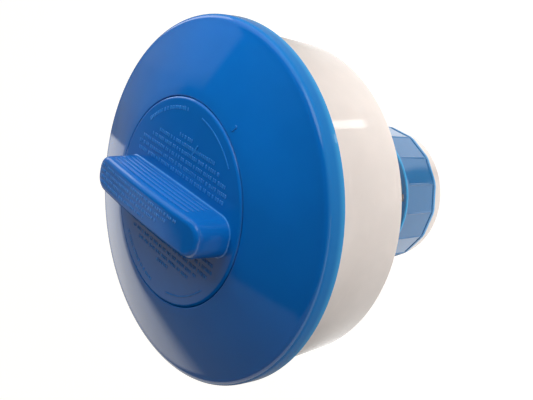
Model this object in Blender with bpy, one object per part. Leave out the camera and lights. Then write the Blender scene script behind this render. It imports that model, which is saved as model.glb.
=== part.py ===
"""Floating chlorine dispenser for a swimming pool, standing on its end cap.

A blue disc and a white drum make a hollow float. A tube of tablets hangs
through its middle. A lid with a grip bar screws into the disc and closes the
tube, and a dosing collar at the tube's foot screws up its outside to uncover
the water slots.

The axis of every turned piece is the world's Z axis, and the end cap rests on
z = 0. The grip bar lies along X. Lengths in this script are in millimetres,
and the meshes are made in metres.
"""

import math

import bmesh
import bpy
from mathutils import Matrix, Vector

MM = 0.001
SEGMENTS = 48
ARC_STEPS = 3
WELD = 1e-6

# Running or resting clearance between two neighbouring pieces.
GAP = 0.3
# Wall of the moulded shells.
WALL = 2.4

# Float: disc above, drum below.
DISC_RADIUS = 100.0
DISC_EDGE_Z = 163.0
SHOULDER_RADIUS = 99.4
SHOULDER_Z = 173.8
SHOULDER_FILLET = 4.0
CONE_MIDDLE = (76.0, 180.9)
SEAM_Z = 185.7
RECESS_RADIUS = 56.5
LEDGE_Z = 179.6
LEDGE_BORE = 53.8
SKIRT_WALL = 2.6
RIM_SEAT_Z = 171.1
RIM_SEAT_WIDTH = 5.9
DRUM_TOP_RADIUS = 95.4
DRUM_FOOT_RADIUS = 92.5
DRUM_FOOT_Z = 111.0
DRUM_FOOT_FILLET = 1.2
DRUM_RIM_Z = 169.0
DRUM_RIM_RADIUS = 97.1
DRUM_RIM_HEIGHT = 2.2

# Tablet tube.
CANISTER_RADIUS = 43.0
CANISTER_BORE = 40.8
CANISTER_FOOT_Z = 5.0
FLANGE_Z = 154.5
FLANGE_RADIUS = 50.6
SLOT_COUNT = 8
SLOT_WIDTH = 10.0
SLOT_LOW_Z = 17.0
SLOT_HIGH_Z = 33.0

# Well: the throat under the lid and the sleeve round the tube.
WELL_BORE = 51.0
WELL_TOP_Z = 175.1
WELL_FLANGE_RADIUS = 60.0
WELL_SHOULDER_Z = 152.4
SLEEVE_BORE = 43.5
SLEEVE_FOOT_Z = 103.0
SLEEVE_STOP_Z = 116.0
SLEEVE_STOP_RADIUS = 52.0
FLAT_GASKET = 1.5

# Lock nut under the drum.
NUT_RADIUS = 54.0
NUT_HEIGHT = 6.7
NUT_NOTCH_DEPTH = 2.5
NUT_NOTCH_EVERY = 6

# Lid.
LID_RADIUS = 55.9
LID_TOP_Z = 186.0
LID_RIM_LOW_Z = 182.6
LID_RIM_FILLET = 1.6
PLUG_RADIUS = 49.2
PLUG_FOOT_Z = 162.0
BAR_LENGTH = 100.0
BAR_FOOT_WIDTH = 21.4
BAR_TOP_WIDTH = 19.6
BAR_CORNER = 8.0
BAR_TOP_Z = 207.6
BAR_ARCH = 2.1
BAR_TOP_FILLET = 2.6
BAR_CUTS = 12
SEAL_SECTION = 1.15

# Lid lugs and throat ramps: a coarse three-start thread.
LID_LEAD = 24.0
LID_STARTS = 3
RAMP_SWEEP = 75.0
RAMP_LOW_Z = 166.0
RAMP_BORE = 49.6
LUG_SWEEP = 30.0
LUG_LAG = 5.0
LUG_RADIUS = 50.6
LUG_HEIGHT = 3.0
LUG_PLAY = 0.4

# Dosing collar and the cam that lifts it as it turns.
COLLAR_RADIUS = 47.8
COLLAR_BORE = 43.9
COLLAR_FOOT_Z = 10.0
COLLAR_TOP_Z = 43.0
COLLAR_FOOT_LIP = 2.8
COLLAR_TOP_LIP = 2.8
PANEL_COUNT = 16
PANEL_RIDGE_RADIUS = 47.6
PANEL_TURN = 7.5
COLLAR_SEAL_RADIUS = 45.8
COLLAR_SEAL_HEIGHT = 2.0
CAM_LEAD = 36.0
CAM_TURN = 240.0
CAM_STARTS = 3
CAM_FIRST_ANGLE = 20.0
CAM_WIDTH = 4.6
CAM_FLOOR_RADIUS = 45.2
PEG_Z = 39.0
PEG_RADIUS = 1.9
PEG_TIP_RADIUS = 44.8

# End cap and tablet grid.
CAP_RADIUS = 46.5
CAP_TOP_Z = 9.6
CAP_FILLET = 4.0
CAP_FLOOR = 2.6
CAP_GROOVE_Z = 3.2
CAP_GROOVE_RADIUS = 43.5
CAP_SPIGOT_RADIUS = 40.3
CAP_SPIGOT_Z = 12.0
GRID_HEIGHT = 3.0
GRID_HOLE = 11.0
GRID_WEB = 3.0
GRID_RIM = 3.5

# Moulder's air plug in the drum's floor.
AIR_PLUG_AT = 72.0
AIR_PLUG_ANGLE = 205.0
AIR_HOLE_RADIUS = 4.0
AIR_HEAD_RADIUS = 6.5
AIR_HEAD_HEIGHT = 1.5
AIR_STEM_HEIGHT = 8.0
AIR_SEGMENTS = 16


def clear_scene():
    for obj in list(bpy.data.objects):
        bpy.data.objects.remove(obj)


def plastic(name, colour, roughness):
    material = bpy.data.materials.new(name)
    material.use_nodes = True
    shader = material.node_tree.nodes["Principled BSDF"]
    shader.inputs["Base Color"].default_value = (*colour, 1.0)
    shader.inputs["Roughness"].default_value = roughness
    shader.inputs["Metallic"].default_value = 0.0
    material.diffuse_color = (*colour, 1.0)
    return material


def blue_plastic(name):
    return plastic(name + "_blue", (0.01, 0.12, 0.62), 0.22)


def white_plastic(name):
    return plastic(name + "_white", (0.86, 0.83, 0.80), 0.30)


def seal_rubber(name):
    return plastic(name + "_rubber", (0.03, 0.03, 0.032), 0.65)


def new_object(name, bm, material=None):
    """An object from a bmesh whose coordinates are millimetres."""
    bmesh.ops.recalc_face_normals(bm, faces=bm.faces)
    bmesh.ops.scale(bm, vec=(MM, MM, MM), verts=bm.verts)
    mesh = bpy.data.meshes.new(name)
    bm.to_mesh(mesh)
    bm.free()
    mesh.shade_smooth()
    mesh.set_sharp_from_angle(angle=math.radians(35))
    if material:
        mesh.materials.append(material)
    obj = bpy.data.objects.new(name, mesh)
    bpy.context.scene.collection.objects.link(obj)
    return obj


def origin_at(obj, z, x=0.0, y=0.0):
    """Moves the object's origin and leaves its shape where it is."""
    point = Vector((x, y, z)) * MM
    obj.data.transform(Matrix.Translation(-point))
    obj.location = point
    return obj


def axis_empty(name, z):
    empty = bpy.data.objects.new(name, None)
    empty.location = (0.0, 0.0, z * MM)
    bpy.context.scene.collection.objects.link(empty)
    return empty


def attach(obj, parent):
    obj.parent = parent
    obj.location = obj.location - parent.location


def cutter(obj):
    obj.hide_render = True
    obj.display_type = "WIRE"
    return obj


def add_boolean(obj, other, operation):
    modifier = obj.modifiers.new(other.name, "BOOLEAN")
    modifier.object = other
    modifier.operation = operation


def rounded(corners):
    """The points of an outline whose corners are (radius, z, fillet)."""
    points = []
    for i, (radius, z, fillet) in enumerate(corners):
        here = Vector((radius, z))
        if not fillet:
            points.append(here)
            continue
        back = (Vector(corners[i - 1][:2]) - here).normalized()
        ahead = (Vector(corners[(i + 1) % len(corners)][:2]) - here).normalized()
        half = back.angle(ahead) / 2
        centre = here + (back + ahead).normalized() * (fillet / math.sin(half))
        reach = fillet / math.tan(half)
        start = here + back * reach - centre
        turn = start.angle_signed(here + ahead * reach - centre)
        for step in range(ARC_STEPS + 1):
            spoke = start.copy()
            spoke.rotate(Matrix.Rotation(-turn * step / ARC_STEPS, 2))
            points.append(centre + spoke)
    return points


def sharp(*corners):
    """An outline with no fillets."""
    return [Vector(corner) for corner in corners]


def ring_section(inner, outer, low, high):
    return sharp((inner, low), (outer, low), (outer, high), (inner, high))


def round_section(radius, z, section, sides=8):
    turn = [math.tau * (i + 0.5) / sides for i in range(sides)]
    return [Vector((radius + section * math.cos(a), z + section * math.sin(a))) for a in turn]


def turned_bmesh(outline, segments=SEGMENTS):
    """The outline spun about Z. Its stretch on the axis, if any, stays open."""
    bm = bmesh.new()
    verts = [bm.verts.new((radius, 0.0, z)) for radius, z in outline]
    edges = []
    for i, vert in enumerate(verts):
        if vert.co.x > WELD or verts[i - 1].co.x > WELD:
            edges.append(bm.edges.new((verts[i - 1], vert)))
    bmesh.ops.spin(
        bm,
        geom=verts + edges,
        cent=(0.0, 0.0, 0.0),
        axis=(0.0, 0.0, 1.0),
        angle=math.tau,
        steps=segments,
        use_merge=True,
    )
    bmesh.ops.remove_doubles(bm, verts=bm.verts, dist=WELD)
    return bm


def turned(name, outline, material, segments=SEGMENTS):
    return new_object(name, turned_bmesh(outline, segments), material)


def angle_index(vert):
    """Which of the equal steps round the axis a vertex stands at."""
    return round(math.atan2(vert.co.y, vert.co.x) / math.tau * SEGMENTS) % SEGMENTS


def set_radius(vert, radius):
    across = Vector((vert.co.x, vert.co.y)).normalized() * radius
    vert.co.x, vert.co.y = across


def add_helical_bar(bm, inner, outer, height, low_z, lead, start, sweep):
    """A bar of rectangular section that climbs round the axis. Angles are in degrees."""
    steps = math.ceil(sweep * SEGMENTS / 360.0)
    rings = []
    for step in range(steps + 1):
        turn = sweep * step / steps
        angle = math.radians(start + turn)
        base = low_z + lead * turn / 360.0
        section = ((inner, base), (outer, base), (outer, base + height), (inner, base + height))
        rings.append([bm.verts.new((r * math.cos(angle), r * math.sin(angle), z)) for r, z in section])
    for ring, following in zip(rings, rings[1:]):
        for i in range(len(ring)):
            bm.faces.new((ring[i - 1], ring[i], following[i], following[i - 1]))
    bm.faces.new(rings[0])
    bm.faces.new(rings[-1])


def add_box(bm, size, centre, angle=0.0):
    """A box whose centre is turned round the Z axis by an angle in degrees."""
    place = Matrix.Rotation(math.radians(angle), 4, "Z") @ Matrix.Translation(centre)
    bmesh.ops.create_cube(bm, size=1.0, matrix=place @ Matrix.Diagonal((*size, 1.0)))


def add_radial_peg(bm, radius, inner, outer, z, angle, sides=16):
    lie = Matrix.Translation(((inner + outer) / 2, 0.0, z)) @ Matrix.Rotation(math.pi / 2, 4, "Y")
    bmesh.ops.create_cone(
        bm,
        cap_ends=True,
        segments=sides,
        radius1=radius,
        radius2=radius,
        depth=outer - inner,
        matrix=Matrix.Rotation(math.radians(angle), 4, "Z") @ lie,
    )


def slab_bmesh(length, width, corner, low, high, fillet=0.0):
    """A block with round corners in plan and, if asked, a rounded top edge."""
    bm = bmesh.new()
    x, y = length / 2, width / 2
    plan = rounded([(x, y, corner), (-x, y, corner), (-x, -y, corner), (x, -y, corner)])
    base = bm.faces.new([bm.verts.new((px, py, low)) for px, py in plan])
    grown = bmesh.ops.extrude_face_region(bm, geom=[base])["geom"]
    top = [item for item in grown if isinstance(item, bmesh.types.BMVert)]
    bmesh.ops.translate(bm, vec=(0.0, 0.0, high - low), verts=top)
    if fillet:
        rim = [edge for edge in bm.edges if all(vert.co.z > high - WELD for vert in edge.verts)]
        bmesh.ops.bevel(
            bm, geom=rim, offset=fillet, segments=ARC_STEPS, profile=0.5, affect="EDGES"
        )
    return bm


def make_float_top():
    skirt_bore = DISC_RADIUS - SKIRT_WALL
    recess_back = RECESS_RADIUS + WALL
    middle_radius, middle_z = CONE_MIDDLE
    seat_inner = skirt_bore - RIM_SEAT_WIDTH
    return turned(
        "float_top",
        rounded([
            (DISC_RADIUS, DISC_EDGE_Z, 0),
            (SHOULDER_RADIUS, SHOULDER_Z, SHOULDER_FILLET),
            (middle_radius, middle_z, 0),
            (RECESS_RADIUS, SEAM_Z, 1.2),
            (RECESS_RADIUS, LEDGE_Z, 0),
            (LEDGE_BORE, LEDGE_Z, 0),
            (LEDGE_BORE, LEDGE_Z - WALL, 0),
            (recess_back, LEDGE_Z - WALL, 0),
            (recess_back, SEAM_Z - WALL - 0.6, 0),
            (middle_radius, middle_z - SKIRT_WALL, 0),
            (seat_inner, RIM_SEAT_Z + WALL, 0),
            (seat_inner, RIM_SEAT_Z, 0),
            (skirt_bore, RIM_SEAT_Z, 0),
            (skirt_bore, DISC_EDGE_Z, 0),
        ]),
        blue_plastic("disc"),
    )


def make_float_bottom():
    rim_low = DRUM_RIM_Z - DRUM_RIM_HEIGHT
    floor_z = DRUM_FOOT_Z + WALL
    sleeve_hole = SLEEVE_BORE + WALL + GAP
    drum = turned(
        "float_bottom",
        rounded([
            (DRUM_RIM_RADIUS, DRUM_RIM_Z, 0),
            (DRUM_RIM_RADIUS, rim_low, 0),
            (DRUM_TOP_RADIUS, rim_low, 0),
            (DRUM_FOOT_RADIUS, DRUM_FOOT_Z, DRUM_FOOT_FILLET),
            (sleeve_hole, DRUM_FOOT_Z, 0),
            (sleeve_hole, floor_z, 0),
            (DRUM_FOOT_RADIUS - WALL, floor_z, 0),
            (DRUM_TOP_RADIUS - WALL, DRUM_RIM_Z, 0),
        ]),
        white_plastic("drum"),
    )
    hole = bmesh.new()
    bmesh.ops.create_cone(
        hole,
        cap_ends=True,
        segments=AIR_SEGMENTS,
        radius1=AIR_HOLE_RADIUS,
        radius2=AIR_HOLE_RADIUS,
        depth=4 * WALL,
        matrix=Matrix.Translation((*air_plug_place(), DRUM_FOOT_Z + WALL / 2)),
    )
    add_boolean(drum, cutter(new_object("air_hole_cutter", hole)), "DIFFERENCE")
    return drum


def air_plug_place():
    angle = math.radians(AIR_PLUG_ANGLE)
    return AIR_PLUG_AT * math.cos(angle), AIR_PLUG_AT * math.sin(angle)


def make_air_plug():
    """The plug's head hangs under the drum's floor, with its seal between them."""
    x, y = air_plug_place()
    seal_high = DRUM_FOOT_Z - GAP
    seal_low = seal_high - FLAT_GASKET
    head_high = seal_low - GAP
    head_low = head_high - AIR_HEAD_HEIGHT
    stem_radius = AIR_HOLE_RADIUS - 0.5
    plug = turned(
        "air_plug",
        rounded([
            (0.0, head_low, 0),
            (AIR_HEAD_RADIUS, head_low, 0.6),
            (AIR_HEAD_RADIUS, head_high, 0),
            (stem_radius, head_high, 0),
            (stem_radius, head_high + AIR_STEM_HEIGHT, 0.8),
            (0.0, head_high + AIR_STEM_HEIGHT, 0),
        ]),
        white_plastic("air_plug"),
        AIR_SEGMENTS,
    )
    seal = turned(
        "air_plug_seal",
        ring_section(AIR_HOLE_RADIUS, AIR_HEAD_RADIUS - GAP, seal_low, seal_high),
        seal_rubber("air_plug_seal"),
        AIR_SEGMENTS,
    )
    for obj in (plug, seal):
        obj.location = (x * MM, y * MM, 0.0)


def make_rim_gasket():
    return turned(
        "rim_gasket",
        ring_section(
            DRUM_TOP_RADIUS - WALL + 0.6,
            DRUM_RIM_RADIUS - 0.5,
            DRUM_RIM_Z + GAP,
            RIM_SEAT_Z - GAP,
        ),
        seal_rubber("rim_gasket"),
    )


def make_well_tube():
    sleeve_radius = SLEEVE_BORE + WALL
    well_radius = WELL_BORE + WALL
    well = turned(
        "well_tube",
        sharp(
            (WELL_FLANGE_RADIUS, WELL_TOP_Z),
            (WELL_FLANGE_RADIUS, WELL_TOP_Z - WALL),
            (well_radius, WELL_TOP_Z - WALL),
            (well_radius, WELL_SHOULDER_Z - WALL),
            (sleeve_radius, WELL_SHOULDER_Z - WALL),
            (sleeve_radius, SLEEVE_STOP_Z + WALL),
            (SLEEVE_STOP_RADIUS, SLEEVE_STOP_Z + WALL),
            (SLEEVE_STOP_RADIUS, SLEEVE_STOP_Z),
            (sleeve_radius, SLEEVE_STOP_Z),
            (sleeve_radius, SLEEVE_FOOT_Z),
            (SLEEVE_BORE, SLEEVE_FOOT_Z),
            (SLEEVE_BORE, WELL_SHOULDER_Z),
            (WELL_BORE, WELL_SHOULDER_Z),
            (WELL_BORE, WELL_TOP_Z),
        ),
        white_plastic("well"),
    )
    ramps = bmesh.new()
    for start in range(LID_STARTS):
        add_helical_bar(
            ramps,
            RAMP_BORE,
            WELL_BORE + WALL / 3,
            LUG_HEIGHT,
            RAMP_LOW_Z,
            LID_LEAD,
            360.0 * start / LID_STARTS,
            RAMP_SWEEP,
        )
    add_boolean(well, cutter(new_object("throat_ramps", ramps)), "UNION")
    return origin_at(well, WELL_SHOULDER_Z)


def make_well_gaskets():
    turned(
        "throat_gasket",
        ring_section(
            LEDGE_BORE + 0.4,
            RECESS_RADIUS + WALL - 0.4,
            WELL_TOP_Z + GAP,
            LEDGE_Z - WALL - GAP,
        ),
        seal_rubber("throat_gasket"),
    )
    turned(
        "sleeve_gasket",
        ring_section(
            SLEEVE_BORE + WALL + 0.5,
            SLEEVE_STOP_RADIUS - 0.4,
            DRUM_FOOT_Z + WALL + GAP,
            SLEEVE_STOP_Z - GAP,
        ),
        seal_rubber("sleeve_gasket"),
    )
    turned(
        "canister_gasket",
        ring_section(
            CANISTER_RADIUS + 1.4,
            FLANGE_RADIUS - GAP,
            WELL_SHOULDER_Z + GAP,
            FLANGE_Z - GAP,
        ),
        seal_rubber("canister_gasket"),
    )


def make_lock_nut():
    """A ring nut on the sleeve's foot, notched for a pin spanner."""
    high = DRUM_FOOT_Z - GAP
    bm = turned_bmesh(
        ring_section(SLEEVE_BORE + WALL + 0.4, NUT_RADIUS, high - NUT_HEIGHT, high)
    )
    for vert in bm.verts:
        outer = vert.co.xy.length > NUT_RADIUS - WELD - 0.1
        if outer and angle_index(vert) % NUT_NOTCH_EVERY < 2:
            set_radius(vert, NUT_RADIUS - NUT_NOTCH_DEPTH)
    return origin_at(new_object("lock_nut", bm, white_plastic("nut")), high)


def make_canister():
    flange_high = FLANGE_Z + WALL
    mouth_chamfer = 1.6
    tube = turned(
        "canister",
        sharp(
            (CANISTER_RADIUS, CANISTER_FOOT_Z),
            (CANISTER_RADIUS, FLANGE_Z),
            (FLANGE_RADIUS, FLANGE_Z),
            (FLANGE_RADIUS, flange_high),
            (CANISTER_BORE + mouth_chamfer, flange_high),
            (CANISTER_BORE, flange_high - mouth_chamfer),
            (CANISTER_BORE, CANISTER_FOOT_Z),
        ),
        white_plastic("canister"),
    )
    slots = bmesh.new()
    middle = ((CANISTER_BORE + CANISTER_RADIUS) / 2, 0.0, (SLOT_LOW_Z + SLOT_HIGH_Z) / 2)
    for slot in range(SLOT_COUNT):
        size = (4 * WALL, SLOT_WIDTH, SLOT_HIGH_Z - SLOT_LOW_Z)
        add_box(slots, size, middle, 360.0 * slot / SLOT_COUNT)
    pegs = bmesh.new()
    for start in range(CAM_STARTS):
        angle = CAM_FIRST_ANGLE + 360.0 * start / CAM_STARTS
        add_radial_peg(pegs, PEG_RADIUS, CANISTER_RADIUS - 1.0, PEG_TIP_RADIUS, PEG_Z, angle)
    add_boolean(tube, cutter(new_object("slot_cutter", slots)), "DIFFERENCE")
    add_boolean(tube, cutter(new_object("cam_pegs", pegs)), "UNION")
    return origin_at(tube, CANISTER_FOOT_Z)


def make_clamp_ring():
    """Snaps into the throat and holds the tube's flange down on its gasket."""
    low = FLANGE_Z + WALL + GAP
    return turned(
        "clamp_ring",
        ring_section(CANISTER_BORE + 3.8, FLANGE_RADIUS, low, low + 1.5 * WALL),
        white_plastic("clamp_ring"),
    )


def make_tablet_grid():
    low = CAP_SPIGOT_Z + GAP
    grid = turned(
        "tablet_grid",
        sharp(
            (0.0, low),
            (CAP_SPIGOT_RADIUS, low),
            (CAP_SPIGOT_RADIUS, low + GRID_HEIGHT),
            (0.0, low + GRID_HEIGHT),
        ),
        white_plastic("grid"),
    )
    holes = bmesh.new()
    pitch = GRID_HOLE + GRID_WEB
    reach = range(-2, 3)
    for column in reach:
        for row in reach:
            corner = (GRID_HOLE / 2 + pitch * abs(column), GRID_HOLE / 2 + pitch * abs(row))
            if math.hypot(*corner) < CAP_SPIGOT_RADIUS - GRID_RIM + 1.0:
                size = (GRID_HOLE, GRID_HOLE, 3 * GRID_HEIGHT)
                add_box(holes, size, (pitch * column, pitch * row, low + GRID_HEIGHT / 2))
    add_boolean(grid, cutter(new_object("grid_cutter", holes)), "DIFFERENCE")
    return origin_at(grid, low)


def make_end_cap():
    spigot_bore = CAP_SPIGOT_RADIUS - WALL
    turned(
        "end_cap",
        rounded([
            (0.0, 0.0, 0),
            (CAP_RADIUS, 0.0, CAP_FILLET),
            (CAP_RADIUS, CAP_TOP_Z, 0),
            (CAP_GROOVE_RADIUS, CAP_TOP_Z, 0),
            (CAP_GROOVE_RADIUS, CAP_GROOVE_Z, 0),
            (CAP_SPIGOT_RADIUS, CAP_GROOVE_Z, 0),
            (CAP_SPIGOT_RADIUS, CAP_SPIGOT_Z, 0),
            (spigot_bore, CAP_SPIGOT_Z, 0),
            (spigot_bore, CAP_FLOOR, 0),
            (0.0, CAP_FLOOR, 0),
        ]),
        white_plastic("cap"),
    )
    turned(
        "end_cap_gasket",
        ring_section(
            CAP_SPIGOT_RADIUS + 0.6,
            CAP_GROOVE_RADIUS - 0.6,
            CAP_GROOVE_Z + GAP,
            CANISTER_FOOT_Z - GAP,
        ),
        seal_rubber("cap_gasket"),
    )


def panelled_collar_bmesh():
    """The collar's outline spun, with its middle drawn in to flat panels between ridges."""
    panel_low = COLLAR_FOOT_Z + COLLAR_FOOT_LIP
    panel_high = COLLAR_TOP_Z - COLLAR_TOP_LIP
    seal_high = COLLAR_FOOT_Z + COLLAR_SEAL_HEIGHT
    bm = turned_bmesh(
        sharp(
            (COLLAR_SEAL_RADIUS, COLLAR_FOOT_Z),
            (COLLAR_RADIUS, COLLAR_FOOT_Z),
            (COLLAR_RADIUS, panel_low),
            (PANEL_RIDGE_RADIUS, panel_low),
            (PANEL_RIDGE_RADIUS, panel_high),
            (COLLAR_RADIUS, panel_high),
            (COLLAR_RADIUS, COLLAR_TOP_Z),
            (COLLAR_BORE, COLLAR_TOP_Z),
            (COLLAR_BORE, seal_high),
            (COLLAR_SEAL_RADIUS, seal_high),
        )
    )
    half_panel = math.pi / PANEL_COUNT
    flat = PANEL_RIDGE_RADIUS * math.cos(half_panel)
    for vert in bm.verts:
        if abs(vert.co.xy.length - PANEL_RIDGE_RADIUS) > 0.1:
            continue
        along = (math.atan2(vert.co.y, vert.co.x) - math.radians(PANEL_TURN)) % (2 * half_panel)
        set_radius(vert, flat / math.cos(along - half_panel))
    return bm


def make_dosing_collar(axis):
    collar = new_object("dosing_collar", panelled_collar_bmesh(), blue_plastic("collar"))
    grooves = bmesh.new()
    entries = bmesh.new()
    groove_drop = CAM_LEAD * CAM_TURN / 360.0
    floor = CAM_FLOOR_RADIUS
    inner = COLLAR_BORE - 1.0
    end_play = math.degrees(CAM_WIDTH / 2 / COLLAR_BORE)
    for start in range(CAM_STARTS):
        angle = CAM_FIRST_ANGLE + 360.0 * start / CAM_STARTS
        add_helical_bar(
            grooves,
            inner,
            floor,
            CAM_WIDTH,
            PEG_Z - CAM_WIDTH / 2 - groove_drop - CAM_LEAD * end_play / 360.0,
            CAM_LEAD,
            angle - CAM_TURN - end_play,
            CAM_TURN + 2 * end_play,
        )
        height = COLLAR_TOP_Z - PEG_Z + 1.0
        entry = ((inner + floor) / 2, 0.0, PEG_Z + height / 2)
        add_box(entries, (floor - inner, CAM_WIDTH, height), entry, angle)
    add_boolean(collar, cutter(new_object("cam_grooves", grooves)), "DIFFERENCE")
    add_boolean(collar, cutter(new_object("cam_entries", entries)), "DIFFERENCE")
    seal = turned(
        "collar_seal",
        ring_section(
            CANISTER_RADIUS + 0.5,
            COLLAR_SEAL_RADIUS - 0.4,
            COLLAR_FOOT_Z,
            COLLAR_FOOT_Z + COLLAR_SEAL_HEIGHT - GAP,
        ),
        seal_rubber("collar_seal"),
    )
    for obj in (collar, seal):
        origin_at(obj, COLLAR_FOOT_Z)
        attach(obj, axis)


def arched_bar_bmesh(low, inset, fillet=0.0):
    """The grip bar, or the space inside it: drawn in towards its top, which is highest mid-way."""
    bm = slab_bmesh(
        BAR_LENGTH - 2 * inset,
        BAR_FOOT_WIDTH - 2 * inset,
        BAR_CORNER - inset,
        low,
        BAR_TOP_Z - inset,
        fillet,
    )
    for cut in range(1, BAR_CUTS):
        at = BAR_LENGTH * (cut / BAR_CUTS - 0.5)
        everything = [*bm.verts, *bm.edges, *bm.faces]
        bmesh.ops.bisect_plane(
            bm, geom=everything, dist=WELD, plane_co=(at, 0.0, 0.0), plane_no=(1.0, 0.0, 0.0)
        )
    draft = (BAR_FOOT_WIDTH - BAR_TOP_WIDTH) / BAR_FOOT_WIDTH
    for vert in bm.verts:
        rise = max(0.0, vert.co.z - LID_TOP_Z) / (BAR_TOP_Z - LID_TOP_Z)
        vert.co.z -= rise * BAR_ARCH * (2 * vert.co.x / BAR_LENGTH) ** 2
        vert.co.y *= 1.0 - rise * draft
    return bm


def make_lid_cover(axis):
    socket_radius = PLUG_RADIUS + 0.8
    socket_z = LID_RIM_LOW_Z + 0.8
    cover = turned(
        "lid_cover",
        rounded([
            (0.0, LID_TOP_Z, 0),
            (LID_RADIUS, LID_TOP_Z, LID_RIM_FILLET),
            (LID_RADIUS, LID_RIM_LOW_Z, 0),
            (socket_radius, LID_RIM_LOW_Z, 0),
            (socket_radius, socket_z, 0),
            (0.0, socket_z, 0),
        ]),
        blue_plastic("lid"),
    )
    bar = arched_bar_bmesh(LID_TOP_Z - 1.0, 0.0, BAR_TOP_FILLET)
    hollow = arched_bar_bmesh(LID_RIM_LOW_Z, WALL)
    add_boolean(cover, cutter(new_object("grip_bar", bar)), "UNION")
    add_boolean(cover, cutter(new_object("grip_hollow", hollow)), "DIFFERENCE")
    origin_at(cover, LEDGE_Z)
    attach(cover, axis)


def make_lid_plug(axis):
    top = LID_RIM_LOW_Z + 0.5
    plug = turned(
        "lid_plug",
        sharp(
            (0.0, PLUG_FOOT_Z),
            (PLUG_RADIUS, PLUG_FOOT_Z),
            (PLUG_RADIUS, top),
            (PLUG_RADIUS - WALL, top),
            (PLUG_RADIUS - WALL, PLUG_FOOT_Z + WALL),
            (0.0, PLUG_FOOT_Z + WALL),
        ),
        white_plastic("plug"),
    )
    lugs = bmesh.new()
    lug_low = RAMP_LOW_Z + LID_LEAD * LUG_LAG / 360.0 - LUG_PLAY - LUG_HEIGHT
    for start in range(LID_STARTS):
        add_helical_bar(
            lugs,
            PLUG_RADIUS - WALL / 2,
            LUG_RADIUS,
            LUG_HEIGHT,
            lug_low,
            LID_LEAD,
            360.0 * start / LID_STARTS + LUG_LAG,
            LUG_SWEEP,
        )
    add_boolean(plug, cutter(new_object("plug_lugs", lugs)), "UNION")
    origin_at(plug, LEDGE_Z)
    attach(plug, axis)


def make_lid_seal(axis):
    seal = turned(
        "lid_seal",
        round_section(
            (LEDGE_BORE + RECESS_RADIUS) / 2, (LEDGE_Z + LID_RIM_LOW_Z) / 2, SEAL_SECTION
        ),
        seal_rubber("lid_seal"),
    )
    origin_at(seal, LEDGE_Z)
    attach(seal, axis)


def main():
    clear_scene()
    make_float_top()
    make_float_bottom()
    make_rim_gasket()
    make_air_plug()
    make_well_tube()
    make_well_gaskets()
    make_lock_nut()
    make_canister()
    make_clamp_ring()
    make_tablet_grid()
    make_end_cap()
    make_dosing_collar(axis_empty("collar_axis", COLLAR_FOOT_Z))
    lid_axis = axis_empty("lid_axis", LEDGE_Z)
    make_lid_cover(lid_axis)
    make_lid_plug(lid_axis)
    make_lid_seal(lid_axis)


main()
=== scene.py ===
"""Looks of the floating chlorine dispenser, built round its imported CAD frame.

Every visible CAD node is replaced by a finer mesh of the same piece: round
walls with real fillets, the lid's grip ridges and raised marks, the collar's
ribbed panels, and the screw forms inside. Shapes are worked out in millimetres,
from the boxes of the CAD nodes and from the driving dimensions below, and are
scaled to metres as each mesh is made.
"""

import math
import random

import bmesh
import bpy
from mathutils import Matrix, Vector


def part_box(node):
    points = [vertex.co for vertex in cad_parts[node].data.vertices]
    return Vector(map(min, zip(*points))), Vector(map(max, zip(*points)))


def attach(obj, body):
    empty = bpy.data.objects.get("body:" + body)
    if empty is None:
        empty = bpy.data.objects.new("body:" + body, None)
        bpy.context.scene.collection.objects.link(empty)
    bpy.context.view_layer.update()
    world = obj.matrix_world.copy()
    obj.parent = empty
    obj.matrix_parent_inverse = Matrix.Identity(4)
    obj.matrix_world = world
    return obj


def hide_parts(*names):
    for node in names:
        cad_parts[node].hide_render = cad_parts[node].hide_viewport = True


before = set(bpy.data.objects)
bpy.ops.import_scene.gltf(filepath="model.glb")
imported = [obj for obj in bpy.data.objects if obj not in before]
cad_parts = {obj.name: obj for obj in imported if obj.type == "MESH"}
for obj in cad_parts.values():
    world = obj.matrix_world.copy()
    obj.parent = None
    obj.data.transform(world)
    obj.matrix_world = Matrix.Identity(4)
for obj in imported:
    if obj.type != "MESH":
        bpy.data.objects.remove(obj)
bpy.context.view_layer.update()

MM = 0.001
WELD = 1e-5
SEGMENTS = 192
SHARP_DEGREES = 38.0
ARC_STEP_DEGREES = 11.0

# Walls and clearances of the mouldings.
WALL = 2.4
GAP = 0.3

# Disc: how its top falls away from the seam round the lid.
RECESS_RADIUS = 56.0
LEDGE_BORE = 53.8
LEDGE_OVER_WELL = 4.5
SEAM_FILLET = 0.7
DOME_START = 57.0
DOME_FIRST_RADIUS = 58.2
DOME_LAST_RADIUS = 95.0
DOME_FALL = 0.1633
DOME_POWER = 1.15
DOME_STEPS = 22
SHOULDER_RADIUS = 99.4
SHOULDER_FILLET = 4.2
SKIRT_WALL = 2.6
RIM_SEAT_Z = 171.1
RIM_SEAT_WIDTH = 5.9
SKIRT_EDGE_TOP_Z = 168.0
SKIRT_EDGE_FULL_Z = 163.8
SHOULDER_Z = 173.8
SHELL_KNEE_RADIUS = 76.0
SHELL_KNEE_Z = 180.9

# Pointer beside the lid.
POINTER_RADIUS = 61.2
POINTER_ANGLE = 58.4
POINTER_LENGTH = 3.8
POINTER_WIDTH = 1.9
POINTER_HEIGHT = 0.4

# Drum.
DRUM_TOP_RADIUS = 95.4
DRUM_FOOT_RADIUS = 92.7
DRUM_RIM_HEIGHT = 2.2
EJECTOR_COUNT = 6
EJECTOR_CIRCLE = 80.0
EJECTOR_TURN = 15.0
EJECTOR_RADIUS = 3.0

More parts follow.
